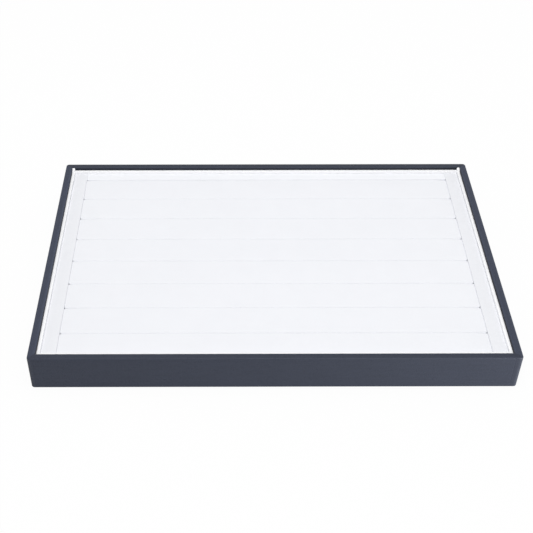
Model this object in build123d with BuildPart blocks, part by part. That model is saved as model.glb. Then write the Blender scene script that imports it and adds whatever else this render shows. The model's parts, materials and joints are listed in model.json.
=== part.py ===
from build123d import *
import os

# Ring display tray: a mitred, wrapped frame with a lift-out insert of padded ring rolls.
# X runs along the rolls, Y towards the back and Z up. The origin is the middle of the underside.

# Overall size of the tray
tray_width = 350.0
tray_depth = 240.0
tray_height = 29.0

# Wall of the frame, measured over its leatherette
wall_thickness = 5.6
wrap_thickness = 0.6
corner_radius = 2.5
rim_outer_radius = 1.2
rim_inner_radius = 0.9

# Base board, let into the rails, and the felt under it
board_thickness = 3.0
board_tongue = 2.2
board_corner = 1.0
felt_gap = 0.3

# Flat wire pins with a T head and a chisel point, through the mitres
pin_width = 1.2
pin_thickness = 1.0
pin_head_width = 1.9
pin_head_height = 0.8
pin_length = 16.0
pin_point = 1.6
pin_end_margin = 8.0

# Fabric-covered strips inside the walls
liner_thickness = 2.3
liner_drop = 2.4
front_liner_drop = 1.2
liner_edge_radius = 1.0
liner_butt_gap = 0.1

# Insert: the card, the pads round the edge and the rolls
insert_clearance = 0.3
card_thickness = 1.5
card_corner = 1.0
cover_thickness = 0.6
cover_turn = 3.0
pad_gap = 0.3
side_pad_width = 10.8
side_pad_drop = 4.0
roll_drop = 4.4
back_strip_width = 8.8
front_roll_width = 23.3
full_roll_count = 7

# Shape of the padding: crown of the top, shoulders, ends, and how far the sides draw in at the foot
roll_crown = 1.0
roll_shoulder = 3.0
roll_end_radius = 3.4
roll_draw_in = 0.5
strip_crown = 0.4
strip_shoulder = 2.0
strip_end_radius = 1.6
strip_draw_in = 0.3

# Sizes and heights that follow from these
rail_inner_offset = wall_thickness - wrap_thickness
rail_bottom = wrap_thickness
rail_top = tray_height - wrap_thickness
board_offset = rail_inner_offset - board_tongue
board_bottom = wrap_thickness
board_top = board_bottom + board_thickness
lining_offset = wall_thickness + liner_thickness
insert_offset = lining_offset + insert_clearance
insert_width = tray_width - 2 * insert_offset
insert_depth = tray_depth - 2 * insert_offset
card_top = board_top + card_thickness
side_pad_height = tray_height - side_pad_drop - card_top
roll_height = tray_height - roll_drop - card_top
roll_length = insert_width - 2 * (side_pad_width + pad_gap)
roll_pitch = (insert_depth - back_strip_width - front_roll_width) / full_roll_count

os.makedirs("parts", exist_ok=True)


def inset(size, offset):
    """Length left of an overall size inside an offset from both of its ends."""
    return size - 2 * offset


def keep(piece, name):
    """Label a finished piece and write it to its own file."""
    piece.label = name
    export_step(piece, f"parts/{name}.step")


# Rail profile all round, with the rebate that takes the base board
with BuildPart() as rail_ring:
    with BuildSketch(Plane.XY.offset(rail_bottom)):
        RectangleRounded(
            inset(tray_width, wrap_thickness),
            inset(tray_depth, wrap_thickness),
            corner_radius - wrap_thickness,
        )
    extrude(amount=rail_top - rail_bottom)
    fillet(rail_ring.faces().sort_by(Axis.Z)[-1].edges(), rim_outer_radius - wrap_thickness)
    with BuildSketch(Plane.XY.offset(rail_bottom)):
        Rectangle(inset(tray_width, rail_inner_offset), inset(tray_depth, rail_inner_offset))
    extrude(amount=rail_top - rail_bottom, mode=Mode.SUBTRACT)
    well_edges = rail_ring.faces().sort_by(Axis.Z)[-1].inner_wires()[0].edges()
    fillet(well_edges, rim_inner_radius - wrap_thickness)
    with BuildSketch(Plane.XY.offset(board_bottom)):
        RectangleRounded(inset(tray_width, board_offset), inset(tray_depth, board_offset), board_corner)
    extrude(amount=board_thickness, mode=Mode.SUBTRACT)

# Base board, let into the rebate
with BuildPart() as base_board:
    with BuildSketch(Plane.XY.offset(board_bottom)):
        RectangleRounded(inset(tray_width, board_offset), inset(tray_depth, board_offset), board_corner)
    extrude(amount=board_thickness)
keep(base_board.part, "base_board")

# Felt sheet that the tray stands on, inside the turned-under leatherette
with BuildPart() as base_felt:
    with BuildSketch():
        felt_offset = wall_thickness + felt_gap
        Rectangle(inset(tray_width, felt_offset), inset(tray_depth, felt_offset))
    extrude(amount=wrap_thickness)
keep(base_felt.part, "base_felt")

# Leatherette all round: outside, over the rim, down inside to the board and under the rail
with BuildPart() as wrap_ring:
    with BuildSketch():
        RectangleRounded(tray_width, tray_depth, corner_radius)
    extrude(amount=tray_height)
    fillet(wrap_ring.faces().sort_by(Axis.Z)[-1].edges(), rim_outer_radius)
    with BuildSketch():
        Rectangle(inset(tray_width, wall_thickness), inset(tray_depth, wall_thickness))
    extrude(amount=tray_height, mode=Mode.SUBTRACT)
    fillet(wrap_ring.faces().sort_by(Axis.Z)[-1].inner_wires()[0].edges(), rim_inner_radius)
    add(rail_ring.part, mode=Mode.SUBTRACT)
    add(base_board.part, mode=Mode.SUBTRACT)

# One mitre pin along X, its head under the leatherette and its point in the end of the next rail
pin_shoulder = pin_length - pin_point
half_pin = pin_width / 2
half_head = pin_head_width / 2
with BuildPart() as mitre_pin:
    with BuildSketch(Plane.XZ):
        with BuildLine():
            Polyline(
                (0, half_head),
                (pin_head_height, half_head),
                (pin_head_height, half_pin),
                (pin_shoulder, half_pin),
                (pin_length, 0),
                (pin_shoulder, -half_pin),
                (pin_head_height, -half_pin),
                (pin_head_height, -half_head),
                (0, -half_head),
                close=True,
            )
        make_face()
    extrude(amount=pin_thickness / 2, both=True)

# Two pins to a corner, driven from the side rails
pin_reach = tray_width / 2 - wrap_thickness
pin_row = tray_depth / 2 - wall_thickness / 2
pin_levels = (rail_bottom + pin_end_margin, rail_top - pin_end_margin)
with BuildPart() as corner_pins:
    for level in pin_levels:
        with Locations((-pin_reach, -pin_row, level), (-pin_reach, pin_row, level)):
            add(mitre_pin.part)
    mirror(about=Plane.YZ)
keep(corner_pins.part, "corner_pins")

# Ground that each side takes up between its two mitres
half_width = tray_width / 2
half_depth = tray_depth / 2
reach = wall_thickness
front_ground = (
    (-half_width, -half_depth),
    (half_width, -half_depth),
    (half_width - reach, reach - half_depth),
    (reach - half_width, reach - half_depth),
)
right_ground = (
    (half_width, -half_depth),
    (half_width, half_depth),
    (half_width - reach, half_depth - reach),
    (half_width - reach, reach - half_depth),
)
sides = {
    "front": front_ground,
    "back": [(-x, -y) for x, y in front_ground],
    "left": [(-x, -y) for x, y in right_ground],
    "right": right_ground,
}

# Rails and their leatherette, mitred at the corners
for side, ground in sides.items():
    with BuildPart() as rail:
        add(rail_ring.part)
        with BuildSketch():
            Polygon(*ground, align=None)
        extrude(amount=tray_height, mode=Mode.INTERSECT)
        add(corner_pins.part, mode=Mode.SUBTRACT)
    keep(rail.part, f"rail_{side}")

    with BuildPart() as wrap:
        add(wrap_ring.part)
        with BuildSketch():
            Polygon(*ground, align=None)
        extrude(amount=tray_height, mode=Mode.INTERSECT)
    keep(wrap.part, f"wrap_{side}")


def liner_strip(length, drop):
    """Strip along X on the board, its back on the plane Y = 0 and its rounded top a drop below the rim."""
    strip_height = tray_height - drop - board_top
    with BuildPart() as strip:
        with BuildSketch(Plane.YZ):
            with Locations((liner_thickness / 2, board_top)):
                Rectangle(liner_thickness, strip_height, align=(Align.CENTER, Align.MIN))
            top_corners = vertices().group_by(Axis.Z)[-1]
            fillet(top_corners, liner_edge_radius)
        extrude(amount=length / 2, both=True)
    return strip.part


# Fabric-covered strips inside the walls: the side strips run through, the others butt against them
inner_half_width = half_width - wall_thickness
inner_half_depth = half_depth - wall_thickness
butted_length = 2 * (inner_half_width - liner_thickness - liner_butt_gap)
front_strip = liner_strip(butted_length, front_liner_drop)
rear_strip = liner_strip(butted_length, liner_drop)
side_strip = liner_strip(2 * inner_half_depth, liner_drop)
liner_places = {
    "front": (front_strip, Location((0, -inner_half_depth, 0))),
    "back": (rear_strip, Location((0, inner_half_depth, 0), (0, 0, 180))),
    "left": (side_strip, Location((-inner_half_width, 0, 0), (0, 0, -90))),
    "right": (side_strip, Location((inner_half_width, 0, 0), (0, 0, 90))),
}
for side, (strip_shape, place) in liner_places.items():
    with BuildPart() as liner:
        with Locations(place):
            add(strip_shape)
    keep(liner.part, f"liner_{side}")

# Stiff card under the padding
with BuildPart() as insert_card:
    with BuildSketch(Plane.XY.offset(board_top)):
        RectangleRounded(insert_width, insert_depth, card_corner)
    extrude(amount=card_thickness)
keep(insert_card.part, "insert_card")


def padded_bar(length, width, height, form, skin=0.0):
    """Bar of padding along X on the plane Z = 0: crowned, round-shouldered, drawn in at the foot.

    form holds the crown, shoulder, end radius and draw-in; skin takes a fabric's thickness off all but the foot.
    """
    crown, shoulder, end_radius, draw_in = form
    half_bar = length / 2 - skin
    half_span = width / 2 - skin
    half_foot = half_span - draw_in
    top = height - skin
    edge = top - crown
    corner = shoulder - skin
    with BuildPart() as bar:
        with BuildSketch(Plane.YZ):
            with BuildLine():
                Line((-half_foot, 0), (half_foot, 0))
                ThreePointArc((half_foot, 0), (half_span, edge / 2), (half_foot, edge))
                ThreePointArc((half_foot, edge), (0, top), (-half_foot, edge))
                ThreePointArc((-half_foot, edge), (-half_span, edge / 2), (-half_foot, 0))
            make_face()
            fillet(vertices().group_by(Axis.Z)[-1], corner)
        extrude(amount=half_bar, both=True)
        with BuildSketch():
            RectangleRounded(2 * half_bar, 2 * half_span, end_radius - skin)
        extrude(amount=height, mode=Mode.INTERSECT)
        with BuildSketch(Plane.XZ):
            with BuildLine():
                Line((-half_bar, 0), (half_bar, 0))
                Line((half_bar, 0), (half_bar, top - corner))
                RadiusArc((half_bar, top - corner), (half_bar - corner, top), -corner)
                Line((half_bar - corner, top), (corner - half_bar, top))
                RadiusArc((corner - half_bar, top), (-half_bar, top - corner), -corner)
                Line((-half_bar, top - corner), (-half_bar, 0))
            make_face()
        extrude(amount=half_span, both=True, mode=Mode.INTERSECT)
    return bar.part


def foam_bar(length, width, height, form):
    """Foam of one bar, with room under its long edges for the fabric that is turned under it."""
    foot_line = width / 2 - cover_turn / 2
    foam_shape = padded_bar(length, width, height, form, cover_thickness)
    with BuildPart() as foam:
        add(foam_shape)
        with BuildSketch():
            with Locations((0, -foot_line), (0, foot_line)):
                Rectangle(length, cover_turn)
        extrude(amount=cover_thickness, mode=Mode.SUBTRACT)
    return foam.part


def keep_pad(name, length, width, height, form, place):
    """Foam core and fabric cover of one bar of padding, glued down on the card."""
    core_shape = foam_bar(length, width, height, form)
    outer_shape = padded_bar(length, width, height, form)
    with BuildPart() as core:
        with Locations(place):
            add(core_shape)
    keep(core.part, f"{name}_core")
    with BuildPart() as cover:
        with Locations(place):
            add(outer_shape)
            add(core_shape, mode=Mode.SUBTRACT)
    keep(cover.part, f"{name}_cover")


roll_form = (roll_crown, roll_shoulder, roll_end_radius, roll_draw_in)
strip_form = (strip_crown, strip_shoulder, strip_end_radius, strip_draw_in)

# Narrow pads beside the ends of the rolls
pad_row = insert_width / 2 - side_pad_width / 2
for name, sign in (("side_pad_left", -1), ("side_pad_right", 1)):
    place = Location((sign * pad_row, 0, card_top), (0, 0, 90))
    keep_pad(name, insert_depth, side_pad_width, side_pad_height, strip_form, place)

# Narrow strip behind the first slit
insert_back = insert_depth / 2
strip_line = insert_back - (back_strip_width - pad_gap / 2) / 2
strip_place = Location((0, strip_line, card_top))
keep_pad("back_strip", roll_length, back_strip_width - pad_gap / 2, roll_height, strip_form, strip_place)

# Full rolls from back to front, with a slit on each side of every one
first_slit = insert_back - back_strip_width
for index in range(full_roll_count):
    roll_line = first_slit - (index + 0.5) * roll_pitch
    place = Location((0, roll_line, card_top))
    keep_pad(f"roll_{index + 1}", roll_length, roll_pitch - pad_gap, roll_height, roll_form, place)

# Roll between the last slit and the front edge
front_line = (front_roll_width - pad_gap / 2) / 2 - insert_back
front_place = Location((0, front_line, card_top))
keep_pad("front_roll", roll_length, front_roll_width - pad_gap / 2, roll_height, roll_form, front_place)
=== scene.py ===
"""Looks of a ring display tray: leatherette frame, white lining and lift-out padded insert."""

import json
import logging
import math
from collections.abc import Callable, Sequence
from dataclasses import dataclass, field, replace
from enum import Enum
from typing import ClassVar

import bmesh
import bpy
from mathutils import Matrix, Vector, noise

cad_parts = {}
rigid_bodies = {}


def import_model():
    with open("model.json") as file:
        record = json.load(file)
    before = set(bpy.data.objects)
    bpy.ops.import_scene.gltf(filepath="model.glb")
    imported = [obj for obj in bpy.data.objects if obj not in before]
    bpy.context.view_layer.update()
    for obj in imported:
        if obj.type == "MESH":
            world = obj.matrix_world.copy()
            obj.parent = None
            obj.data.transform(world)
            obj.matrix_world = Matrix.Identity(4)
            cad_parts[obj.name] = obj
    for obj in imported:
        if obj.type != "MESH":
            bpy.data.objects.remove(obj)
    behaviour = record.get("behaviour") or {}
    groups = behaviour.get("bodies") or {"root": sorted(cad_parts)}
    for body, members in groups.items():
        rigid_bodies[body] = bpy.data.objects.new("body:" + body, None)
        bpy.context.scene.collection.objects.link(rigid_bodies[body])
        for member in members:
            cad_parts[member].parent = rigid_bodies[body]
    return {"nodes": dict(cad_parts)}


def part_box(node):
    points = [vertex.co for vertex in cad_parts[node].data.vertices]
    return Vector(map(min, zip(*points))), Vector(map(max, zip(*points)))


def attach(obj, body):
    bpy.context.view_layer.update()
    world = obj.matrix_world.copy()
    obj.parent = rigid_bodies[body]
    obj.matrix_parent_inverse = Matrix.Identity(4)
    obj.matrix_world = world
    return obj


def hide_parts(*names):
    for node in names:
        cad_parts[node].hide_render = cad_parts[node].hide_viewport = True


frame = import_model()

LOG = logging.getLogger("ring_tray")
MM = 0.001
ALONG_X = (0.05, 1.0, 1.0)
SEED_STEP = 0.37
HEIGHT_SHARES = (0.0, 0.12, 0.3, 0.5, 0.7, 0.85, 0.95, 1.0)

Colour = tuple[float, float, float]
Point = tuple[float, float, float]
Pair = tuple[float, float]
Face = tuple[int, ...]
Socket = bpy.types.NodeSocket
Node = bpy.types.Node
Thing = bpy.types.Object


class Body(Enum):
    """Bodies that the pieces ride on."""

    TRAY = "tray"
    INSERT = "insert"


class Slot(Enum):
    """Material slots of the record that the shown pieces wear."""

    LEATHERETTE = "leatherette"
    BOARD = "board"
    PIN_STEEL = "pin_steel"
    FELT = "felt"
    LINER_FABRIC = "liner_fabric"
    CARD = "card"
    PAD_FABRIC = "pad_fabric"


class Side(Enum):
    """Sides of the tray, each with the turn in degrees that brings the front side to it."""

    FRONT = 0
    RIGHT = 90
    BACK = 180
    LEFT = 270

    @property
    def word(self) -> str:
        """The side's name in node names."""
        return self.name.lower()


def smooth_step(low: float, high: float, value: float) -> float:
    """Eases from 0 at low to 1 at high."""
    share = min(1.0, max(0.0, (value - low) / (high - low)))
    return share * share * (3.0 - 2.0 * share)


def arc(centre: Pair, radius: float, start: float, end: float, steps: int) -> list[Pair]:
    """Points along an arc, both ends included.

    Args:
        centre: Centre of the arc.
        radius: Its radius.
        start: Angle of the first point, in degrees.
        end: Angle of the last point, in degrees.
        steps: Number of equal steps between them.

    Returns:
        The points, in order.
    """
    angles = [math.radians(start + (end - start) * i / steps) for i in range(steps + 1)]
    return [(centre[0] + radius * math.cos(a), centre[1] + radius * math.sin(a)) for a in angles]


def ripple(x: float, y: float, seed: float) -> float:
    """Smooth noise between about -1 and 1."""
    return noise.noise(Vector((x, y, seed)))


def spaced(length: float, step: float, edge: float, near: Sequence[float]) -> list[float]:
    """Stations from minus to plus half a length, closer together near both ends.

    Args:
        length: Whole length.
        step: Widest spacing in the middle.
        edge: Length of the fine stretch at each end.
        near: Distances from the end of the stations in that stretch, rising and less than edge.

    Returns:
        The stations in rising order.
    """
    half = length / 2
    inner = half - edge
    count = max(1, math.ceil(2 * inner / step))
    first = [-half + distance for distance in near]
    middle = [-inner + 2 * inner * i / count for i in range(count + 1)]
    return first + middle + [-value for value in reversed(first)]


class NodeDesk:
    """Adds nodes to a shader tree and links them in one call each."""

    def __init__(self, tree: bpy.types.NodeTree) -> None:
        """Keeps the tree that the nodes go into."""
        self.tree = tree

    def add(self, kind: str, settings: dict[str, object] | None = None, **inputs: object) -> Node:
        """Adds one node.

        Args:
            kind: Type of the node without its ShaderNode prefix.
            settings: Properties of the node itself.
            inputs: Values or sockets for its inputs; a name's underscores stand for spaces, and i0
                stands for the first input.

        Returns:
            The new node.
        """
        node = self.tree.nodes.new("ShaderNode" + kind)
        for key, value in (settings or {}).items():
            setattr(node, key, value)
        for key, value in inputs.items():
            self.plug(node, key, value)
        return node

    def plug(self, node: Node, key: str, value: object) -> None:
        """Sets one input of a node to a value, or links it to a socket."""
        numbered = key[0] == "i" and key[1:].isdigit()
        socket = node.inputs[int(key[1:])] if numbered else node.inputs[key.replace("_", " ")]
        if isinstance(value, Socket):
            self.tree.links.new(value, socket)
        else:
            socket.default_value = value

    def maths(self, operation: str, first: object, second: object) -> Socket:
        """Adds a Math node and returns its result."""
        return self.add("Math", {"operation": operation}, i0=first, i1=second).outputs[0]

    def product(self, first: object, second: object) -> Socket:
        """Multiplies two values and returns the result."""
        return self.maths("MULTIPLY", first, second)

    def scaled(self, vector: object, factors: Point) -> Socket:
        """Multiplies a vector's parts, each by its own factor."""
        return self.add("VectorMath", {"operation": "MULTIPLY"}, i0=vector, i1=factors).outputs[0]

    def stored(self, attribute: str, output: str = "Fac") -> Socket:
        """Reads a value stored on the mesh."""
        return self.add("Attribute", {"attribute_name": attribute}).outputs[output]

    def bump(self, height: object, depth: float) -> Socket:
        """Turns a height, in units of depth in metres, into a normal."""
        return self.add("Bump", None, Strength=1.0, Distance=depth, Height=height).outputs[0]

    def remap(self, value: object, low: float, high: float, start: float, end: float) -> Socket:
        """Adds a Map Range node, from low and high to start and end, and returns its result."""
        ends = {"From_Min": low, "From_Max": high, "To_Min": start, "To_Max": end}
        return self.add("MapRange", None, Value=value, **ends).outputs[0]

    def mix(self, share: object, first: object, second: object) -> Socket:
        """Mixes two colours and returns the result."""
        node = self.add("Mix", {"data_type": "RGBA"}, i0=share, i6=first, i7=second)
        return node.outputs[2]

    def noise(self, where: object, scale: object, detail: float, rough: float = 0.5) -> Socket:
        """Adds a noise texture and returns its value."""
        inputs = {"Vector": where, "Scale": scale, "Detail": detail, "Roughness": rough}
        return self.add("TexNoise", None, **inputs).outputs[0]


def rgba(colour: Colour) -> tuple[float, float, float, float]:
    """A colour with full alpha."""
    return (*colour, 1.0)


WHITE = rgba((1.0, 1.0, 1.0))


def cleared(block: bpy.types.Material | bpy.types.World) -> NodeDesk:
    """Empties the node tree of a material or a world and returns a desk for it."""
    block.use_nodes = True
    block.node_tree.nodes.clear()
    return NodeDesk(block.node_tree)


def put(name: str, data: bpy.types.ID) -> Thing:
    """Makes an object and links it to the scene."""
    thing = bpy.data.objects.new(name, data)
    bpy.context.scene.collection.objects.link(thing)
    return thing


class EffectGroup:
    """A shader node group with named sockets, built once and used by several materials."""

    name: str
    takes: tuple[str, ...]
    gives: tuple[str, ...]

    @classmethod
    def tree(cls) -> bpy.types.NodeTree:
        """Returns the group's node tree, made on first use."""
        found = bpy.data.node_groups.get(cls.name)
        if found:
            return found
        tree = bpy.data.node_groups.new(cls.name, "ShaderNodeTree")
        tree.interface.new_socket("Place", in_out="INPUT", socket_type="NodeSocketVector")
        for way, labels in (("INPUT", cls.takes), ("OUTPUT", cls.gives)):
            for label in labels:
                tree.interface.new_socket(label, in_out=way, socket_type="NodeSocketFloat")
        desk = NodeDesk(tree)
        entry = tree.nodes.new("NodeGroupInput")
        leave = tree.nodes.new("NodeGroupOutput")
        for label, socket in cls.wire(desk, entry.outputs).items():
            tree.links.new(socket, leave.inputs[label])
        return tree

    @classmethod
    def wire(cls, desk: NodeDesk, given: dict[str, Socket]) -> dict[str, Socket]:
        """Builds the inside of the group.

        Args:
            desk: Desk of the group's tree.
            given: The group's own inputs by name.

        Returns:
            The socket for each output, by name.
        """
        raise NotImplementedError

    @classmethod
    def place(cls, desk: NodeDesk, where: Socket, **inputs: float) -> Node:
        """Puts the group into a material with its own values."""
        return desk.add("Group", {"node_tree": cls.tree()}, Place=where, **inputs)


class PebbleGrain(EffectGroup):
    """Embossed leather grain: small rounded pebbles with fine creases between them."""

    name = "pebble_grain"
    takes = ("Cells", "Stretch")
    gives = ("Height", "Crease")

    @classmethod
    def wire(cls, desk: NodeDesk, given: dict[str, Socket]) -> dict[str, Socket]:
        """Warps the place a little, then takes rounded cells and their borders."""
        cells = given["Cells"]
        squeeze = desk.add("CombineXYZ", None, X=given["Stretch"], Y=1.0, Z=1.0).outputs[0]
        laid = desk.scaled(given["Place"], squeeze)
        sway = desk.add("TexNoise", None, Vector=laid, Scale=desk.product(cells, 0.6)).outputs[1]
        shift = desk.add("VectorMath", {"operation": "SCALE"}, i0=sway, Scale=0.0006).outputs[0]
        bent = desk.add("VectorMath", {"operation": "ADD"}, i0=laid, i1=shift).outputs[0]
        borders = {"feature": "DISTANCE_TO_EDGE"}
        rim = desk.add("TexVoronoi", borders, Vector=bent, Scale=cells).outputs[0]
        crease = desk.remap(rim, 0.0, 0.16, 1.0, 0.0)
        pore = desk.noise(bent, desk.product(cells, 3.0), 2.0)
        dome = desk.remap(rim, 0.0, 0.30, 0.0, 1.0)
        height = desk.maths("ADD", desk.product(dome, 0.8), desk.product(pore, 0.35))
        return {"Height": height, "Crease": crease}


class BrushedNap(EffectGroup):
    """Short pile that lies this way and that, with single fibres at its finest."""

    name = "brushed_nap"
    takes = ("Fibre", "Patch")
    gives = ("Height", "Tone", "Lie")

    @classmethod
    def wire(cls, desk: NodeDesk, given: dict[str, Socket]) -> dict[str, Socket]:
        """Adds fine fibres to soft patches."""
        where, fibre = given["Place"], given["Fibre"]
        fine = desk.noise(where, fibre, 3.0, 0.65)
        tuft = desk.noise(where, desk.product(fibre, 0.22), 2.0)
        lie = desk.noise(where, given["Patch"], 3.0, 0.55)
        height = desk.maths("ADD", desk.product(fine, 0.6), desk.product(tuft, 0.4))
        tone = desk.maths("ADD", desk.product(tuft, 0.5), desk.product(lie, 0.5))
        return {"Height": height, "Tone": tone, "Lie": lie}


class BreakUp(EffectGroup):
    """Slow, faint variation that keeps a plain surface from looking painted flat."""

    name = "break_up"
    takes = ("Scale", "Reach")
    gives = ("Factor", "Speck")

    @classmethod
    def wire(cls, desk: NodeDesk, given: dict[str, Socket]) -> dict[str, Socket]:
        """Turns two noises into a factor near one and a mask of small specks."""
        where, scale = given["Place"], given["Scale"]
        slow = desk.noise(where, scale, 4.0, 0.6)
        centred = desk.maths("SUBTRACT", slow, 0.5)
        swing = desk.product(centred, desk.product(given["Reach"], 2.0))
        factor = desk.maths("ADD", swing, 1.0)
        dots = desk.noise(where, desk.product(scale, 60.0), 1.0)
        speck = desk.remap(dots, 0.62, 0.78, 0.0, 1.0)
        return {"Factor": factor, "Speck": speck}


@dataclass(frozen=True)
class Finish:
    """What all finishes share: a name, a colour, and how a material is put together."""

    name: str
    colour: Colour
    placed_by: ClassVar[str] = ""

    def material(self) -> bpy.types.Material:
        """Builds the material round a Principled BSDF."""
        material = bpy.data.materials.new(self.name)
        desk = cleared(material)
        shader = desk.add("BsdfPrincipled", None, **self.inputs(desk, self.where(desk)))
        desk.add("OutputMaterial", None, Surface=shader.outputs[0])
        return material

    def where(self, desk: NodeDesk) -> Socket:
        """The place on the piece: a stored attribute, or else the object's own coordinates."""
        if self.placed_by:
            return desk.stored(self.placed_by, "Vector")
        return desk.add("TexCoord").outputs["Object"]

    @staticmethod
    def tinted(desk: NodeDesk, colour: object, factor: Socket) -> Socket:
        """A colour times a varying factor."""
        return desk.add("VectorMath", {"operation": "SCALE"}, i0=colour, Scale=factor).outputs[0]

    def inputs(self, desk: NodeDesk, where: Socket) -> dict[str, object]:
        """Builds what feeds the shader.

        Args:
            desk: Desk of the material's tree.
            where: The place on the piece.

        Returns:
            A value or a socket for each input of the shader, by its name with underscores.
        """
        raise NotImplementedError


@dataclass(frozen=True)
class Leatherette(Finish):
    """Matte coated leatherette with a fine grain that follows each strip round its rail."""

    placed_by: ClassVar[str] = "lay"
    worn: Colour = (0.042, 0.048, 0.068)
    cells: float = 1150.0
    depth: float = 0.035 * MM
    roughness: float = 0.52

    def inputs(self, desk: NodeDesk, where: Socket) -> dict[str, object]:
        """Grain with painted shade in its creases, slow variation, streaks along the strip, its
        stored tone, which carries painted light and shade, and worn edges.
        """
        grain = PebbleGrain.place(desk, where, Cells=self.cells, Stretch=0.8).outputs
        drift = BreakUp.place(desk, where, Scale=14.0, Reach=0.10).outputs["Factor"]
        streak = desk.noise(desk.scaled(where, ALONG_X), 900.0, 3.0, 0.6)
        streaked = desk.product(drift, desk.remap(streak, 0.3, 0.7, 0.92, 1.08))
        # Painted shade: the grain's creases are darkened.
        crease_shaded = desk.product(streaked, desk.remap(grain["Crease"], 0.0, 1.0, 1.0, 0.82))
        # The stored tone multiplies in the strips' painted light and shade.
        base = self.tinted(desk, self.colour, desk.product(crease_shaded, desk.stored("tone")))
        wear = desk.remap(desk.noise(where, 260.0, 3.0), 0.35, 0.7, 0.25, 0.8)
        rubbed = desk.product(desk.stored("edge"), wear)
        rough = desk.remap(grain["Crease"], 0.0, 1.0, self.roughness, self.roughness + 0.2)
        return dict(
            Base_Color=desk.mix(rubbed, base, rgba(self.worn)),
            Roughness=desk.maths("SUBTRACT", rough, desk.product(rubbed, 0.08)),
            Specular_IOR_Level=0.25,
            Normal=desk.bump(grain["Height"], self.depth),
        )


@dataclass(frozen=True)
class Microfibre(Finish):
    """White short-pile cloth that takes the light softly."""

    shade: Colour = (0.80, 0.81, 0.85)
    fibre: float = 5200.0
    patch: float = 55.0
    depth: float = 0.05 * MM

    def inputs(self, desk: NodeDesk, where: Socket) -> dict[str, object]:
        """Fibres, brushed patches, the stored tone, which carries painted light and shade, and a
        soft sheen.
        """
        nap = BrushedNap.place(desk, where, Fibre=self.fibre, Patch=self.patch).outputs
        drift = BreakUp.place(desk, where, Scale=9.0, Reach=0.012).outputs["Factor"]
        share = desk.remap(nap["Tone"], 0.35, 0.7, 0.22, 0.0)
        base = desk.mix(share, rgba(self.colour), rgba(self.shade))
        return dict(
            # The stored tone multiplies in the pads' painted light and shade.
            Base_Color=self.tinted(desk, base, desk.product(drift, desk.stored("tone"))),
            Roughness=desk.remap(nap["Lie"], 0.3, 0.7, 0.86, 0.98),
            Specular_IOR_Level=0.2,
            Sheen_Weight=0.12,
            Sheen_Roughness=0.5,
            Normal=desk.bump(nap["Height"], self.depth),
        )


@dataclass(frozen=True)
class Felt(Finish):
    """Pressed dark felt with paler fibres lying across it."""

    fibre_colour: Colour = (0.13, 0.135, 0.15)
    depth: float = 0.12 * MM

    def inputs(self, desk: NodeDesk, where: Socket) -> dict[str, object]:
        """Matted fibres and a few that stand out."""
        nap = BrushedNap.place(desk, where, Fibre=2600.0, Patch=45.0).outputs
        specks = BreakUp.place(desk, where, Scale=30.0, Reach=0.12).outputs["Speck"]
        base = self.tinted(desk, self.colour, desk.remap(nap["Tone"], 0.3, 0.7, 0.75, 1.3))
        return dict(
            Base_Color=desk.mix(desk.product(specks, 0.5), base, rgba(self.fibre_colour)),
            Roughness=desk.remap(nap["Height"], 0.3, 0.7, 0.9, 1.0),
            Specular_IOR_Level=0.15,
            Sheen_Weight=0.2,
            Normal=desk.bump(nap["Height"], self.depth),
        )


@dataclass(frozen=True)
class Fibreboard(Finish):
    """Pressed wood fibre: fine chips in two tones."""

    chip: Colour = (0.30, 0.20, 0.12)
    chips: float = 1500.0
    depth: float = 0.04 * MM

    def inputs(self, desk: NodeDesk, where: Socket) -> dict[str, object]:
        """Small chips, slow variation and a dry surface."""
        chips = desk.add("TexVoronoi", None, Vector=where, Scale=self.chips).outputs["Distance"]
        fine = desk.noise(where, self.chips * 2.0, 3.0, 0.7)
        share = desk.product(desk.remap(chips, 0.2, 0.8, 0.0, 1.0), fine)
        drift = BreakUp.place(desk, where, Scale=20.0, Reach=0.08).outputs["Factor"]
        base = desk.mix(share, rgba(self.colour), rgba(self.chip))
        return dict(
            Base_Color=self.tinted(desk, base, drift),
            Roughness=desk.remap(fine, 0.3, 0.7, 0.75, 0.92),
            Normal=desk.bump(fine, self.depth),
        )


@dataclass(frozen=True)
class DrawnWire(Finish):
    """Bright drawn wire with fine lines along it."""

    depth: float = 0.01 * MM

    def inputs(self, desk: NodeDesk, where: Socket) -> dict[str, object]:
        """Fine lines in tone and roughness."""
        lines = desk.noise(desk.scaled(where, ALONG_X), 9000.0, 2.0)
        return dict(
            Base_Color=self.tinted(desk, self.colour, desk.remap(lines, 0.3, 0.7, 0.85, 1.1)),
            Metallic=desk.remap(lines, 0.0, 1.0, 0.97, 1.0),
            Roughness=desk.remap(lines, 0.3, 0.7, 0.22, 0.38),
            Normal=desk.bump(lines, self.depth),
        )


FINISHES: dict[Slot, Finish] = {
    Slot.LEATHERETTE: Leatherette("leatherette", (0.027, 0.0325, 0.051)),
    Slot.BOARD: Fibreboard("fibreboard", (0.47, 0.35, 0.23)),
    Slot.PIN_STEEL: DrawnWire("drawn_wire", (0.62, 0.62, 0.61)),
    Slot.FELT: Felt("felt", (0.045, 0.048, 0.058)),
    Slot.LINER_FABRIC: Microfibre(
        "liner_cloth", (0.95, 0.95, 0.965), shade=(0.88, 0.885, 0.91), depth=0.03 * MM
    ),
    Slot.CARD: Fibreboard(
        "grey_card", (0.50, 0.50, 0.49), chip=(0.38, 0.38, 0.375), chips=2200.0
    ),
    Slot.PAD_FABRIC: Microfibre("pad_cloth", (0.90, 0.91, 0.945)),
}


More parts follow.
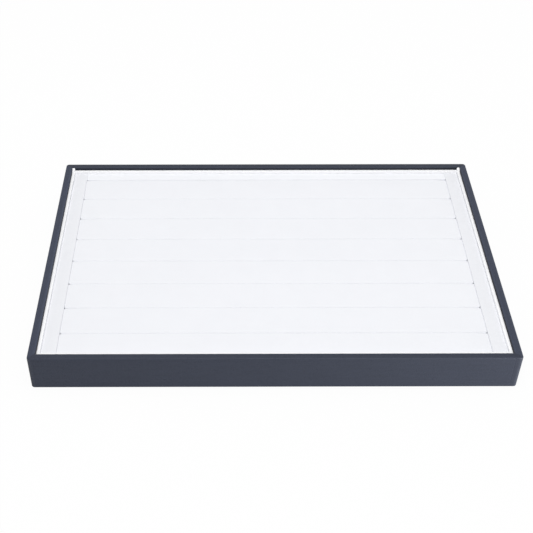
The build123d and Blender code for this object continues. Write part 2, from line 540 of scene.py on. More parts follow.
@dataclass
class Wardrobe:
    """Makes each finish's material once and hands it out."""

    made: dict[Slot, bpy.types.Material] = field(default_factory=dict)

    def material(self, slot: Slot) -> bpy.types.Material:
        """The material of a slot."""
        if slot not in self.made:
            self.made[slot] = FINISHES[slot].material()
        return self.made[slot]

    def dress_node(self, node: str, slot: Slot) -> None:
        """Puts a slot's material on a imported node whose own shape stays."""
        mesh = frame["nodes"][node].data
        mesh.materials.clear()
        mesh.materials.append(self.material(slot))
        LOG.info("node %s wears %s", node, slot.value)


@dataclass
class Shape:
    """Vertices, faces and stored values of a mesh in the making."""

    points: list[Point] = field(default_factory=list)
    faces: list[Face] = field(default_factory=list)
    lay: list[Point] = field(default_factory=list)
    edge: list[float] = field(default_factory=list)
    tone: list[float] = field(default_factory=list)

    def piece(self, name: str, crease_degrees: float) -> Thing:
        """Turns the shape into an object.

        Args:
            name: Name of the piece.
            crease_degrees: Angle between faces above which an edge stays sharp.

        Returns:
            The object, linked to the scene.
        """
        mesh = bpy.data.meshes.new(name)
        mesh.from_pydata(self.points, [], self.faces)
        if self.lay:
            stored = mesh.attributes.new("lay", "FLOAT_VECTOR", "POINT")
            stored.data.foreach_set("vector", [value for point in self.lay for value in point])
        for label, values in (("edge", self.edge), ("tone", self.tone)):
            if values:
                mesh.attributes.new(label, "FLOAT", "POINT").data.foreach_set("value", values)
        work = bmesh.new()
        work.from_mesh(mesh)
        bmesh.ops.recalc_face_normals(work, faces=work.faces)
        work.to_mesh(mesh)
        work.free()
        mesh.polygons.foreach_set("use_smooth", [True] * len(mesh.polygons))
        mesh.set_sharp_from_angle(angle=math.radians(crease_degrees))
        return put(name, mesh)


def place_on(piece: Thing, body: Body, slot: Slot, wardrobe: Wardrobe, *names: str) -> None:
    """Dresses a piece, lets it ride on its body and stand for its nodes.

    Args:
        piece: The piece.
        body: Body that it rides on.
        slot: Material slot that it wears.
        wardrobe: Where its material comes from.
        names: Nodes that it stands for.
    """
    piece.data.materials.append(wardrobe.material(slot))
    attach(piece, body.value)
    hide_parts(*names)
    LOG.info("piece %s stands for %s on %s", piece.name, ", ".join(names), body.value)


def sweep(shape: Shape, rings: Sequence[Sequence[Point]], closed_ends: bool) -> None:
    """Joins equal rings of points, each a closed loop, with quads.

    Args:
        shape: Shape that the points and faces go into.
        rings: Loops of points, all with the same count.
        closed_ends: Whether the first and the last ring are filled.
    """
    count = len(rings[0])
    first = len(shape.points)
    for ring in rings:
        shape.points.extend(ring)
    for i in range(len(rings) - 1):
        low, high = first + i * count, first + (i + 1) * count
        for j in range(count):
            k = (j + 1) % count
            shape.faces.append((low + j, low + k, high + k, high + j))
    if closed_ends:
        last = first + (len(rings) - 1) * count
        shape.faces.append(tuple(range(first + count - 1, first - 1, -1)))
        shape.faces.append(tuple(range(last, last + count)))


@dataclass
class TraySize:
    """Sizes read from the frame, in metres."""

    width: float
    depth: float
    height: float
    wall: float
    board_top: float

    @classmethod
    def from_frame(cls) -> "TraySize":
        """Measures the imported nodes."""
        low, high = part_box("wrap_front")
        side_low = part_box("wrap_left")[0]
        board_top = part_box("base_board")[1].z
        return cls(-2 * side_low.x, -2 * low.y, high.z, high.y - low.y, board_top)

    def span(self, side: Side) -> float:
        """Outside length of a side."""
        return self.width if side in (Side.FRONT, Side.BACK) else self.depth

    def turned(self, side: Side, run: float, inward: float, level: float) -> Point:
        """A point in the frame's own axes.

        Args:
            side: Side that the other values are measured on.
            run: Distance along the side from its middle.
            inward: Distance inwards from its outer face.
            level: Height.

        Returns:
            The point.
        """
        across = (self.depth if side in (Side.FRONT, Side.BACK) else self.width) / 2
        turn = math.radians(side.value)
        x, y = run, inward - across
        cos, sin = math.cos(turn), math.sin(turn)
        return x * cos - y * sin, x * sin + y * cos, level


# Painted light: each side's rim top is painted lighter by its own factor, as the light falls on
# that side.
PAINTED_RIM_LIGHT: dict[Side, float] = {
    Side.FRONT: 1.14, Side.RIGHT: 1.5, Side.BACK: 1.0, Side.LEFT: 1.6
}


@dataclass
class WrappedFrame:
    """Four mitred strips of leatherette round the rails.

    Lengths are in metres. A mesh line along a strip has an end of -1, 0 or 1 for the left corner
    stretch, the straight between and the right corner stretch.
    """

    size: TraySize
    skin: float = 0.6 * MM
    least_radius: float = 0.02 * MM
    corner: float = 2.5 * MM
    rim_outer: float = 0.9 * MM
    rim_inner: float = 0.9 * MM
    foot: float = 0.5 * MM
    seam_depth: float = 0.14 * MM
    sway: float = 0.07 * MM
    sway_scales: Pair = (14.0, 60.0)
    run_step: float = 6.0 * MM
    arc_steps: int = 5
    corner_steps: int = 12
    near_mitre: float = 0.985
    mitre_wear: Pair = (0.55, 0.9)
    rim_wear: float = 0.3
    face_levels: tuple[float, ...] = (0.2, 0.4, 0.6, 0.8)
    middle_level: float = 0.6
    lap_depth: float = 0.10 * MM
    lap_width: float = 0.035
    lap_fade: Pair = (0.3 * MM, 0.9 * MM)
    lapped: tuple[Side, ...] = (Side.FRONT, Side.BACK)
    lap_tone: float = 0.96
    # Painted shade on the outer face, and a painted highlight and painted shade at the inner
    # arris.
    face_tone: float = 0.86
    arris_tones: Pair = (1.22, 0.62)

    def outline(self) -> list[tuple[Pair, Pair, float, float]]:
        """The section of a strip, from the turned-under edge round the outside to the board.

        Returns:
            Points of the outside and of the inside, inward and up, how much the place is an edge,
            and its tone, which is painted light and shade: the outer face painted darker than the
            top, a painted highlight along the inner arris, and painted shade on the inner face and
            underside.
        """
        skin, steps, face = self.skin, self.arc_steps, self.face_tone
        wall, top = self.size.wall, self.size.height
        inner, thinnest = wall - self.rim_inner, skin + self.least_radius
        # Painted highlight at the inner arris, and painted shade on the inner face and underside.
        light, dark = self.arris_tones
        corners = [
            ((self.foot, self.foot), self.foot, 270.0, 0.4, face, face),
            ((self.rim_outer, top - self.rim_outer), self.rim_outer, 180.0, 0.3, face, 1.0),
            ((inner, top - self.rim_inner), self.rim_inner, 90.0, 0.1, light, dark),
        ]
        under = (wall, wall * self.middle_level)
        rows = [((inward, 0.0), (inward, skin), 0.0, dark) for inward in under]
        for index, (centre, radius, start, weight, first, last) in enumerate(corners):
            inner_centre = centre if radius > skin else (thinnest, thinnest)
            inner_radius = max(radius - skin, self.least_radius)
            outside = arc(centre, radius, start, start - 90.0, steps)
            inside = arc(inner_centre, inner_radius, start, start - 90.0, steps)
            for i in range(steps + 1):
                edge = weight * math.sin(math.pi * i / steps)
                tone = first + (last - first) * (i / steps) ** 2
                rows.append((outside[i], inside[i], edge, tone))
            if index == 0:
                levels = [top * share for share in self.face_levels]
                rows += [((0.0, level), (skin, level), 0.0, face) for level in levels]
            elif index == 1:
                across = ((self.rim_outer + wall - self.rim_inner) / 2, inner - skin)
                rows += [((inward, top), (inward, top - skin), 0.0, 1.0) for inward in across]
        down = (top * self.middle_level, self.size.board_top)
        return rows + [((wall, level), (wall - skin, level), 0.0, dark) for level in down]

    def station(self, half: float, inward: float, share: float) -> Pair:
        """A point of the corner stretch, from where the corners begin to the mitre.

        Args:
            half: Half the side's outside length.
            inward: Distance from the outer face.
            share: 0 at the start of the stretch and 1 at the mitre.

        Returns:
            The run along the side and the distance inwards there.
        """
        start = half - self.size.wall - self.corner
        bend = max(0.0, self.corner - inward)
        straight = half - max(self.corner, inward) - start
        curved = bend * math.pi / 4
        gone = share * (straight + curved)
        if gone <= straight or bend == 0.0:
            return start + gone, inward
        angle = (gone - straight) / bend
        return half - self.corner + bend * math.sin(angle), self.corner - bend * math.cos(angle)

    def strip(self, side: Side) -> Shape:
        """Builds one strip as a closed shell, with a shallow seam at each mitre.

        The front and the back also have a groove near each corner, where one strip of leatherette
        laps the next.
        """
        half = self.size.span(side) / 2
        outside, inside, edge, shade = zip(*self.outline())
        straight_half = half - self.size.wall - self.corner
        runs = spaced(2 * straight_half, self.run_step, self.run_step, (0.0,))
        lap = self.lap_share()
        shares = [i / self.corner_steps for i in range(1, self.corner_steps)]
        shares += [self.near_mitre, 1.0]
        if side in self.lapped:
            shares = sorted(value for value in shares if abs(value - lap) > 1.5 * self.lap_width)
            shares = sorted(shares + [lap - self.lap_width, lap, lap + self.lap_width])
        stations = [(-1, share) for share in reversed(shares)] + [(0, run) for run in runs]
        stations += [(1, share) for share in shares]
        girth = [0.0]
        for (a, b), (c, d) in zip(outside, outside[1:]):
            girth.append(girth[-1] + math.hypot(c - a, d - b))
        shape, rings = Shape(), []
        for end, value in stations:
            seam = self.seam_depth if end and value == 1.0 else 0.0
            on_lap = side in self.lapped and end != 0
            groove = self.lap_depth if on_lap and abs(value - lap) < 1e-6 else 0.0
            tone = self.lap_tone if on_lap and value > lap else 1.0
            nearness = 0.0
            if end:
                gone = smooth_step(self.near_mitre, 1.0, value)
                nearness = smooth_step(*self.mitre_wear, value) * (1 - gone)
            ring: list[Point] = []
            for loop, sink in ((outside, True), (list(reversed(inside)), False)):
                for index, (inward, level) in enumerate(loop):
                    run, depth = (value, inward) if end == 0 else self.station(half, inward, value)
                    run = run * end if end else run
                    order = index if sink else len(loop) - 1 - index
                    if sink:
                        along, round_it = self.sway_scales
                        wave = ripple(run * along, girth[order] * round_it, side.value)
                        free = 1 if 0 < order < len(loop) - 1 else 0
                        drop = seam + self.sway * (0.5 + 0.5 * wave) * free
                        drop += groove * (1 - smooth_step(*self.lap_fade, outside[order][0]))
                        pull = self.pull(outside[order], drop)
                        depth, level = depth + pull.x, level + pull.y
                    ring.append(self.size.turned(side, run, depth, level))
                    shape.lay.append((run, girth[order], side.value * MM))
                    # Painted light and shade: the section's painted shade profile, and each side's
                    # rim top painted lighter.
                    on_rim = outside[order][1] > self.size.height - 0.6 * self.rim_outer
                    shape.tone.append(tone * shade[order] * (PAINTED_RIM_LIGHT[side] if on_rim else 1.0))
                    upright = 1.0 if outside[order][0] < self.corner * 0.2 else self.rim_wear
                    shape.edge.append(min(1.0, edge[order] + nearness * upright) if sink else 0.0)
            rings.append(ring)
        sweep(shape, rings, closed_ends=False)
        self.cap(shape, len(outside), len(rings))
        return shape

    def lap_share(self) -> float:
        """Where the lap lies in the corner stretch: one wall's thickness from the corner."""
        return self.corner / (self.size.wall + self.corner * math.pi / 4)

    def pull(self, section: Pair, drop: float) -> Vector:
        """How a point of the outside moves into the strip.

        Args:
            section: The point, inward and up.
            drop: Length of the move.

        Returns:
            The move, inward and up.
        """
        wall, height = self.size.wall, self.size.height
        inner = wall - self.rim_inner
        middle = (min(max(section[0], self.rim_outer), inner), height - self.rim_outer)
        if section[1] < middle[1]:
            upright = section[1] > self.foot
            middle = (wall / 2, section[1]) if upright else (section[0], self.foot)
        pull = Vector((middle[0] - section[0], middle[1] - section[1]))
        return pull.normalized() * drop if pull.length > 0 else pull

    @staticmethod
    def cap(shape: Shape, half_ring: int, rings: int) -> None:
        """Closes both ends of a strip with quads across its thickness."""
        ring = 2 * half_ring
        for start in (0, (rings - 1) * ring):
            for i in range(half_ring - 1):
                across = (start + i, start + i + 1, start + ring - 2 - i, start + ring - 1 - i)
                shape.faces.append(across)

    def build(self, wardrobe: Wardrobe) -> None:
        """Makes the four strips."""
        for side in Side:
            piece = self.strip(side).piece(f"leatherette_{side.word}", 60.0)
            place_on(piece, Body.TRAY, Slot.LEATHERETTE, wardrobe, f"wrap_{side.word}")


@dataclass
class Lining:
    """White cloth-covered strips inside the walls."""

    size: TraySize
    round_over: float = 0.6 * MM
    arc_steps: int = 4
    ear_rise: float = 2.1 * MM
    ear_length: float = 4.5 * MM
    ear_steps: int = 5
    sway: float = 0.12 * MM
    sway_scale: float = 25.0
    bulge_scale: float = 40.0
    bulge_seed: float = 5.0
    run_step: float = 3.0 * MM

    def strip(self, side: Side) -> Shape:
        """Builds one strip; the side strips' cloth stands up a little in the back corners."""
        low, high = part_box(f"liner_{side.word}")
        along_x = side in (Side.FRONT, Side.BACK)
        length = high.x - low.x if along_x else high.y - low.y
        thick = high.y - low.y if along_x else high.x - low.x
        bottom, top = low.z, high.z
        radius = self.round_over
        shape, rings = Shape(), []
        near = [self.ear_length * i / self.ear_steps for i in range(self.ear_steps)]
        for run in spaced(length, self.run_step, self.ear_length, near):
            to_back = length / 2 - run if side is Side.RIGHT else length / 2 + run
            low_share = smooth_step(0.0, self.ear_length, to_back)
            ear = 0.0 if along_x else self.ear_rise * (1 - low_share)
            wave = ripple(run * self.sway_scale, side.value, 0.0)
            ruffle = ripple(run * self.bulge_scale, side.value, self.bulge_seed)
            rounding = top - radius + ear - self.sway * (0.5 + 0.5 * wave)
            bulge = self.sway * 0.5 * ruffle
            section = [(0.0, bottom), (0.0, (bottom + top) / 2), (0.0, top - radius)]
            section += arc((radius, rounding), radius, 180.0, 90.0, self.arc_steps)
            section += arc((thick - radius, rounding), radius, 90.0, 0.0, self.arc_steps)
            section += [(thick - abs(bulge), (bottom + top) / 2), (thick, bottom)]
            wall = self.size.wall
            rings.append([self.size.turned(side, run, wall + deep, up) for deep, up in section])
        sweep(shape, rings, closed_ends=True)
        shape.tone = [1.0] * len(shape.points)
        return shape

    def build(self, wardrobe: Wardrobe) -> None:
        """Makes the four strips."""
        for side in Side:
            piece = self.strip(side).piece(f"lining_{side.word}", 50.0)
            place_on(piece, Body.TRAY, Slot.LINER_FABRIC, wardrobe, f"liner_{side.word}")


@dataclass(frozen=True)
class Shoulder:
    """Quarter ellipse that rounds a pad's top edge: how far in it starts and how far it drops."""

    run: float
    drop: float
    steps: int = 6

    def lines(self, length: float, step: float) -> list[float]:
        """Places of the mesh lines across a pad that has this shoulder on both sides.

        Args:
            length: The pad's whole extent there.
            step: Widest spacing between the shoulders.

        Returns:
            The places in rising order, evenly spread round the shoulders' curve.
        """
        turns = [math.pi / 2 * i / self.steps for i in range(self.steps)]
        near = [self.run * (1 - math.cos(turn)) for turn in turns]
        return spaced(length, step, self.run, near)

    def blended(self, other: "Shoulder", share: float) -> "Shoulder":
        """The shoulder part way to another one."""
        run = self.run + (other.run - self.run) * share
        return Shoulder(run, self.drop + (other.drop - self.drop) * share)

    def grown(self, factor: float) -> "Shoulder":
        """The shoulder made larger, more in its drop than in its run."""
        return Shoulder(self.run * math.sqrt(factor), self.drop * factor)

    def fall(self, to_edge: float) -> float:
        """How far the surface lies below the top at a distance from the edge."""
        if to_edge >= self.run:
            return 0.0
        across = (self.run - max(0.0, to_edge)) / self.run
        return self.drop * (1 - math.sqrt(1 - across * across))


@dataclass(frozen=True)
class PadForm:
    """How a pad is rounded and how its cloth lies.

    Lengths are in metres. Scales are those of noises, and the shares are of the pad's height.
    """

    long_edge: Shoulder
    end_edge: Shoulder
    corner: float
    crown: float
    draw_in: float
    proud: float
    sway: float
    tuck: float
    simulated: bool
    # Colour factor of the whole pad's cloth, used as painted light and shade.
    tone: float = 1.0
    tuck_length: float = 12.0 * MM
    step: float = 3.5 * MM
    cross_step_share: float = 0.8
    edge_wave: float = 0.22
    edge_scale: float = 30.0
    coarse_scales: Pair = (22.0, 30.0)
    fine_scales: Pair = (60.0, 50.0)
    drawn_share: float = 0.6
    proud_shares: Pair = (0.5, 0.9)
    side_power: int = 8
    end_power: int = 60
    crown_powers: Pair = (2.2, 30)


ROLL_FORM = PadForm(
    long_edge=Shoulder(2.4 * MM, 0.55 * MM),
    end_edge=Shoulder(3.5 * MM, 0.42 * MM),
    corner=1.5 * MM,
    crown=0.35 * MM,
    draw_in=0.45 * MM,
    proud=0.14 * MM,
    sway=0.10 * MM,
    tuck=2.3,
    simulated=True,
)
STRIP_FORM = PadForm(
    long_edge=Shoulder(1.2 * MM, 0.4 * MM),
    end_edge=Shoulder(0.6 * MM, 0.25 * MM),
    corner=0.6 * MM,
    crown=0.3 * MM,
    draw_in=0.25 * MM,
    proud=0.14 * MM,
    sway=0.08 * MM,
    tuck=0.0,
    simulated=False,
)
# Painted shade on the side pads and painted light on the back strip.
SIDE_FORM = replace(STRIP_FORM, tone=0.965)
BACK_FORM = replace(STRIP_FORM, tone=1.035)


@dataclass(frozen=True)
class CoverSimulation:
    """Blows a roll's cover up over its foam, as cloth, and reads off how its top swells."""

    cell: float = 4.6 * MM
    rows: int = 3
    held_share: float = 0.6
    quality: int = 5
    mass: float = 0.15
    damping: float = 10.0
    pressure: float = 4.0
    last_frame: int = 20
    bump_scale: float = 40.0
    unevenness: float = 0.12 * MM
    lowest: float = -0.2
    digits: int = 3

    def sheet(self, extent: Vector, seed: float) -> tuple[Thing, int, int]:
        """A closed cover with even cells, its lower half held on the foam.

        Args:
            extent: Length, width and height of the pad.
            seed: Number that gives each pad its own unevenness.

        Returns:
            The object, and the number of cells along and across its top.
        """
        along, across = round(extent.x / self.cell), max(4, round(extent.y / self.cell))
        work = bmesh.new()
        rows = []
        for i in range(along + 1):
            rows.append([])
            for j in range(across + 1):
                place = (extent.x * (i / along - 0.5), extent.y * (j / across - 0.5), extent.z)
                vert = work.verts.new(place)
                bump = ripple(vert.co.x * self.bump_scale, vert.co.y * self.bump_scale, seed)
                vert.co.z += self.unevenness * bump
                rows[-1].append(vert)
        for i in range(along):
            for j in range(across):
                work.faces.new((rows[i][j], rows[i + 1][j], rows[i + 1][j + 1], rows[i][j + 1]))
        rim = [edge for edge in work.edges if edge.is_boundary]
        for level in range(self.rows):
            made = bmesh.ops.extrude_edge_only(work, edges=rim)["geom"]
            rim = [item for item in made if isinstance(item, bmesh.types.BMEdge)]
            for vert in {vert for edge in rim for vert in edge.verts}:
                vert.co.z = extent.z * (1 - (level + 1) / self.rows)
        rim = [edge for edge in work.edges if edge.is_boundary]
        bmesh.ops.contextual_create(work, geom=rim)
        bmesh.ops.recalc_face_normals(work, faces=work.faces)
        mesh = bpy.data.meshes.new("cover_cloth")
        work.to_mesh(mesh)
        work.free()
        cover = put("cover_cloth", mesh)
        held = cover.vertex_groups.new(name="held")
        low = [vert.index for vert in mesh.vertices if vert.co.z < extent.z * self.held_share]
        held.add(low, 1.0, "REPLACE")
        return cover, along, across

    def swell(self, extent: Vector, seed: float) -> list[list[float]]:
        """Runs the cloth and returns the rise of each point of the top, between 0 and 1.

        Args:
            extent: Length, width and height of the pad.
            seed: Number that gives each pad its own unevenness.

        Returns:
            Rows of values along the pad, each running across it.
        """
        cover, along, across = self.sheet(extent, seed)
        cloth = cover.modifiers.new("cloth", "CLOTH")
        settings = cloth.settings
        settings.quality = self.quality
        settings.mass = self.mass
        settings.air_damping = self.damping
        settings.use_pressure = True
        settings.uniform_pressure_force = self.pressure
        settings.vertex_group_mass = "held"
        settings.effector_weights.gravity = 0.0
        cloth.collision_settings.use_collision = False
        scene = bpy.context.scene
        for moment in range(1, self.last_frame + 1):
            scene.frame_set(moment)
        settled = cover.evaluated_get(bpy.context.evaluated_depsgraph_get()).to_mesh()
        count = (along + 1) * (across + 1)
        rises = [settled.vertices[k].co.z - extent.z for k in range(count)]
        scene.frame_set(1)
        mesh = cover.data
        bpy.data.objects.remove(cover)
        bpy.data.meshes.remove(mesh)
        low = sum(rises[k] for k in range(across + 1)) / (across + 1)
        high = max(rises)
        scale = 1.0 / max(high - low, 1e-6)
        shares = [min(1.0, max(self.lowest, (value - low) * scale)) for value in rises]
        shares = [round(share, self.digits) for share in shares]
        return [shares[i * (across + 1):(i + 1) * (across + 1)] for i in range(along + 1)]


@dataclass
class Pad:
    """One bar of padding: foam with a cloth cover drawn over it."""

    name: str
    form: PadForm
    along_y: bool = False
    swell: list[list[float]] = field(default_factory=list)

    def rise(self, across: float, along: float) -> float:
        """Share of the crown at a place of the top.

        Args:
            across: Place across the pad, from -1 to 1.
            along: Place along it, from -1 to 1.

        Returns:
            About 0 at the outline and about 1 at the highest place.
        """
        if not self.swell:
            side_power, end_power = self.form.crown_powers
            return (1 - abs(across) ** side_power) * (1 - abs(along) ** end_power)
        i_real = (along + 1) / 2 * (len(self.swell) - 1)
        j_real = (across + 1) / 2 * (len(self.swell[0]) - 1)
        i, j = min(int(i_real), len(self.swell) - 2), min(int(j_real), len(self.swell[0]) - 2)
        u, v = i_real - i, j_real - j
        near = self.swell[i][j] * (1 - v) + self.swell[i][j + 1] * v
        far = self.swell[i + 1][j] * (1 - v) + self.swell[i + 1][j + 1] * v
        return near * (1 - u) + far * u

    def size(self) -> tuple[Vector, Vector]:
        """Middle of the foot, and length, width and height along the bar's own axes."""
        low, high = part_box(f"{self.name}_cover")
        middle = Vector(((low.x + high.x) / 2, (low.y + high.y) / 2, low.z))
        extent = high - low
        if self.along_y:
            extent = Vector((extent.y, extent.x, extent.z))
        return middle, extent

    def grid(self, extent: Vector) -> tuple[list[Point], list[Face]]:
        """Surface of a plain box with closer lines near its edges."""
        form = self.form
        lines = (
            form.end_edge.lines(extent.x, form.step),
            form.long_edge.lines(extent.y, form.step * form.cross_step_share),
            [extent.z * share for share in HEIGHT_SHARES],
        )
        places: dict[Face, int] = {}
        points: list[Point] = []
        faces: list[Face] = []

        def corner(key: Face) -> int:
            """Index of a surface point, added on first use."""
            if key not in places:
                places[key] = len(points)
                points.append(tuple(stations[index] for stations, index in zip(lines, key)))
            return places[key]

        for fixed, first, second in ((2, 0, 1), (1, 0, 2), (0, 1, 2)):
            for level in (0, len(lines[fixed]) - 1):
                for i in range(len(lines[first]) - 1):
                    for j in range(len(lines[second]) - 1):
                        quad = []
                        for a, b in ((i, j), (i + 1, j), (i + 1, j + 1), (i, j + 1)):
                            key = [level, level, level]
                            key[first], key[second] = a, b
                            quad.append(corner(tuple(key)))
                        faces.append(tuple(quad))
        return points, faces

    def rounded(self, x: float, y: float, half_x: float, half_y: float) -> tuple[float, ...]:
        """Brings a point of a plain rectangle onto one with rounded corners.

        Args:
            x: Place along the bar.
            y: Place across it.
            half_x: Half the bar's length.
            half_y: Half its width.

        Returns:
            The moved place, its distance from the outline, and 1 near an end or 0 near a side.
        """
        corner = self.form.corner
        inner_x = max(-half_x + corner, min(half_x - corner, x))
        inner_y = max(-half_y + corner, min(half_y - corner, y))
        out = Vector((x - inner_x, y - inner_y))
        to_edge = min(half_x - abs(x), half_y - abs(y))
        endness = 1.0 if half_x - abs(x) < half_y - abs(y) else 0.0
        if abs(out.x) > 1e-9 and abs(out.y) > 1e-9:
            reach = max(abs(out.x), abs(out.y))
            unit = out.normalized()
            x, y = inner_x + unit.x * reach, inner_y + unit.y * reach
            endness = unit.x * unit.x
        return x, y, to_edge, endness

    def shaped(self, point: Point, extent: Vector, seed: float) -> Point:
        """Moves a point of the plain box onto the soft form.

        Args:
            point: Point of the box, its foot's middle at the origin.
            extent: Length, width and height of the box.
            seed: Number that gives each pad its own unevenness.

        Returns:
            The moved point.
        """
        form = self.form
        half_x, half_y = extent.x / 2, extent.y / 2
        share = point[2] / extent.z
        x, y, to_edge, endness = self.rounded(point[0], point[1], half_x, half_y)
        near_end = max(0.0, 1 - (half_x - abs(x)) / form.tuck_length) ** 2
        shoulder = form.long_edge.grown(1 + form.tuck * near_end).blended(form.end_edge, endness)
        wave = ripple(x * form.edge_scale, math.copysign(1.0, y) * 2, seed)
        across, along = min(1.0, abs(y) / half_y), min(1.0, abs(x) / half_x)
        crown = form.crown * self.rise(math.copysign(across, y), math.copysign(along, x))
        uneven = ripple(x * form.coarse_scales[0], y * form.coarse_scales[1], seed)
        uneven += 0.5 * ripple(x * form.fine_scales[0], y * form.fine_scales[1], seed + 7)
        fall = shoulder.fall(to_edge) * (1 + form.edge_wave * wave)
        top = extent.z - form.crown - fall + crown - form.sway * (0.5 + 0.4 * uneven)
        drawn = form.draw_in * (1 - smooth_step(0.0, form.drawn_share, share))
        drawn -= form.proud * smooth_step(*form.proud_shares, share)
        y -= math.copysign(1.0, y) * drawn * across ** form.side_power
        x -= math.copysign(1.0, x) * drawn * along ** form.end_power
        return x, y, top * share

    def build(self, wardrobe: Wardrobe) -> None:
        """Makes the pad, which stands for its core and its cover."""
        middle, extent = self.size()
        points, faces = self.grid(extent)
        seed = sum(ord(letter) for letter in self.name) * SEED_STEP
        if self.form.simulated:
            self.swell = CoverSimulation().swell(extent, seed)
        shape = Shape(faces=faces, tone=[self.form.tone] * len(points))
        for point in points:
            x, y, z = self.shaped(point, extent, seed)
            if self.along_y:
                x, y = -y, x
            shape.points.append((middle.x + x, middle.y + y, middle.z + z))
        piece = shape.piece(f"{self.name}_pad", 80.0)
        nodes = (f"{self.name}_core", f"{self.name}_cover")
        place_on(piece, Body.INSERT, Slot.PAD_FABRIC, wardrobe, *nodes)
        smoothing = piece.modifiers.new("smoothing", "SUBSURF")
        smoothing.levels = smoothing.render_levels = 1


@dataclass
class PaddedInsert:
    """The lift-out insert: side pads, a back strip and the ring rolls on a card."""

    full_rolls: int = 7

    def pads(self) -> list[Pad]:
        """The insert's pads, from the sides to the front."""
        pads = [Pad(f"side_pad_{word}", SIDE_FORM, along_y=True) for word in ("left", "right")]
        pads.append(Pad("back_strip", BACK_FORM))
        pads += [Pad(f"roll_{index + 1}", ROLL_FORM) for index in range(self.full_rolls)]
        pads.append(Pad("front_roll", ROLL_FORM))
        return pads

    def build(self, wardrobe: Wardrobe) -> None:
        """Makes every pad and dresses the card."""
        for pad in self.pads():
            pad.build(wardrobe)
        wardrobe.dress_node("insert_card", Slot.CARD)


@dataclass
class HiddenFrame:
    """Rails, pins, board and felt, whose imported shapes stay."""

    def build(self, wardrobe: Wardrobe) -> None:
        """Dresses the nodes."""
        for side in Side:
            wardrobe.dress_node(f"rail_{side.word}", Slot.BOARD)
        wardrobe.dress_node("base_board", Slot.BOARD)
        wardrobe.dress_node("corner_pins", Slot.PIN_STEEL)
        wardrobe.dress_node("base_felt", Slot.FELT)


@dataclass(frozen=True)
class Lamp:
    """One soft lamp, aimed at a point of the tray."""

    name: str
    place: Point
    aim: Point
    size: Pair
    power: float
    lights: str = ""

    def build(self) -> None:
        """Makes the lamp, unseen itself.

        Where lights is set, it lights only the pieces whose names start with that word.
        """
        data = bpy.data.lights.new(self.name, "AREA")
        data.shape = "RECTANGLE"
        data.size, data.size_y = self.size
        data.energy = self.power
        lamp = put(self.name, data)
        lamp.location = self.place
        lamp.visible_camera = False
        ahead = Vector(self.aim) - Vector(self.place)
        lamp.rotation_euler = ahead.to_track_quat("-Z", "Y").to_euler()
        if self.lights:
            lit = bpy.data.collections.new(f"{self.name}_lights")
            for piece in bpy.context.scene.objects:
                if piece.name.startswith(self.lights):
                    lit.objects.link(piece)
            lamp.light_linking.receiver_collection = lit


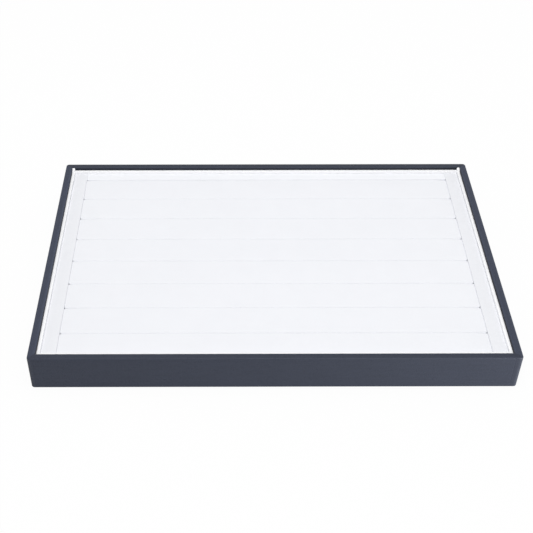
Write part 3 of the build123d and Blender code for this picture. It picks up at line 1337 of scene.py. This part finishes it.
@dataclass
class Studio:
    """White sweep, soft light and the camera, whose turns are its pitch, yaw and roll."""

    sky: float = 0.58
    floor_half: float = 6.0
    floor_inset: float = 4.0 * MM
    floor_colour: Colour = (0.95, 0.95, 0.95)
    floor_glow: float = 0.95
    stand: Point = (-0.0314, -0.6121, 0.5292)
    turns_degrees: Point = (42.54, 0.25, 0.05)
    focal_length: float = 67.46
    shift: Pair = (0.0615, 0.0775)
    lamps: tuple[Lamp, ...] = (
        Lamp(
            name="overhead",
            place=(0.03, -0.12, 1.35),
            aim=(0.0, 0.0, 0.0),
            size=(1.0, 1.0),
            power=9.2,
        ),
        Lamp(
            name="front_right",
            place=(0.56, -0.54, 0.03),
            aim=(0.08, -0.12, 0.015),
            size=(0.30, 0.05),
            power=5.8,
            lights="leatherette",
        ),
        Lamp(
            name="lining_fill",
            place=(0.0, -0.60, 0.25),
            aim=(0.0, 0.10, 0.02),
            size=(0.30, 0.20),
            power=0.75,
            lights="lining",
        ),
    )

    @staticmethod
    def seen_rays(desk: NodeDesk) -> Socket:
        """1 for camera, glossy and transmission rays, and 0 for the rest."""
        rays = desk.add("LightPath").outputs
        some = desk.maths("MAXIMUM", rays["Is Camera Ray"], rays["Is Glossy Ray"])
        return desk.maths("MAXIMUM", some, rays["Is Transmission Ray"])

    def build_world(self) -> None:
        """White to the eye, and a plain soft light to everything else."""
        world = bpy.data.worlds.new("studio")
        desk = cleared(world)
        level = desk.remap(self.seen_rays(desk), 0.0, 1.0, self.sky, 1.0)
        light = desk.add("Background", None, Color=WHITE, Strength=level)
        desk.add("OutputWorld", None, Surface=light.outputs[0])
        bpy.context.scene.world = world

    def build_floor(self, size: TraySize) -> None:
        """A pale floor that keeps a faint shadow; from below, the tray's underside shows."""
        inset = self.floor_inset
        opening = (size.width / 2 - inset, size.depth / 2 - inset)
        halves = ((self.floor_half, self.floor_half), opening)
        turns = ((-1, -1), (1, -1), (1, 1), (-1, 1))
        points = [(x * half_x, y * half_y, 0.0) for half_x, half_y in halves for x, y in turns]
        faces = [(k, (k + 1) % 4, (k + 1) % 4 + 4, k + 4) for k in range(4)]
        mesh = bpy.data.meshes.new("floor")
        mesh.from_pydata(points, [], faces)
        floor = put("floor", mesh)
        material = bpy.data.materials.new("floor_paper")
        desk = cleared(material)
        paper = desk.add("BsdfDiffuse", None, Color=rgba(self.floor_colour))
        glow = desk.add("Emission", None, Color=WHITE, Strength=1.0)
        share = desk.product(self.seen_rays(desk), self.floor_glow)
        above = desk.add("MixShader", None, i0=share, i1=paper.outputs[0], i2=glow.outputs[0])
        below = desk.add("BsdfTransparent", None, Color=WHITE)
        under = desk.add("NewGeometry").outputs["Backfacing"]
        both = desk.add("MixShader", None, i0=under, i1=above.outputs[0], i2=below.outputs[0])
        desk.add("OutputMaterial", None, Surface=both.outputs[0])
        mesh.materials.append(material)

    def build_camera(self) -> None:
        """The camera at the photograph's viewing angle."""
        pitch, yaw, roll = (math.radians(turn) for turn in self.turns_degrees)
        level = math.cos(pitch)
        ahead = Vector((math.sin(yaw) * level, math.cos(yaw) * level, -math.sin(pitch)))
        right = Vector((math.cos(yaw), -math.sin(yaw), 0.0))
        up = right.cross(ahead)
        cos, sin = math.cos(roll), math.sin(roll)
        right, up = right * cos + up * sin, up * cos - right * sin
        data = bpy.data.cameras.new("camera")
        data.lens = self.focal_length
        data.shift_x, data.shift_y = self.shift
        camera = put("camera", data)
        turned = Matrix((right, up, -ahead)).transposed().to_4x4()
        camera.matrix_world = Matrix.Translation(self.stand) @ turned
        bpy.context.scene.camera = camera

    def build(self, size: TraySize) -> None:
        """Makes the floor, the light and the camera."""
        self.build_world()
        self.build_floor(size)
        self.build_camera()
        for lamp in self.lamps:
            lamp.build()
        bpy.context.scene.view_settings.view_transform = "Standard"


def main() -> None:
    """Builds the tray and the studio in order."""
    logging.basicConfig(level=logging.INFO, format="%(name)s: %(message)s")
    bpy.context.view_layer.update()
    size = TraySize.from_frame()
    wardrobe = Wardrobe()
    builders: list[Callable[[Wardrobe], None]] = [
        HiddenFrame().build,
        WrappedFrame(size).build,
        Lining(size).build,
        PaddedInsert().build,
    ]
    for build in builders:
        build(wardrobe)
    Studio().build(size)


if __name__ == "__main__":
    main()
